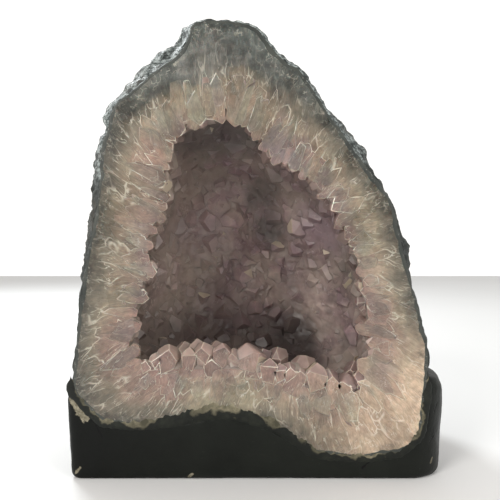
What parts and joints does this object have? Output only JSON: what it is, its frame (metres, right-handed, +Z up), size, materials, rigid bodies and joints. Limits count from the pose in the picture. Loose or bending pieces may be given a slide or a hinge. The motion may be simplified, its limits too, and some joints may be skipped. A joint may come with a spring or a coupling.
{
  "type": "amethyst geode",
  "caption": "Upright amethyst geode cut flat in front, with a thin dark rock rind, a crystal crust around an open cavity, and a painted cement foot it rests on.",
  "frame": {"origin": "middle of the bounding box at the level of the flat underside", "axes": "+Z up, -Y out of the cut front face towards the viewer, +X to the viewer's right"},
  "size_m": [0.2118, 0.1388, 0.253],
  "materials": {
    "rock": "rough",
    "amethyst": "polished in front, natural crystal faces inside",
    "cement": "satin paint"
  },
  "bodies": {
    "root": {"rock_rind": "rock", "crystal_crust": "amethyst", "cement_foot": "cement"}
  },
  "joints": []
}
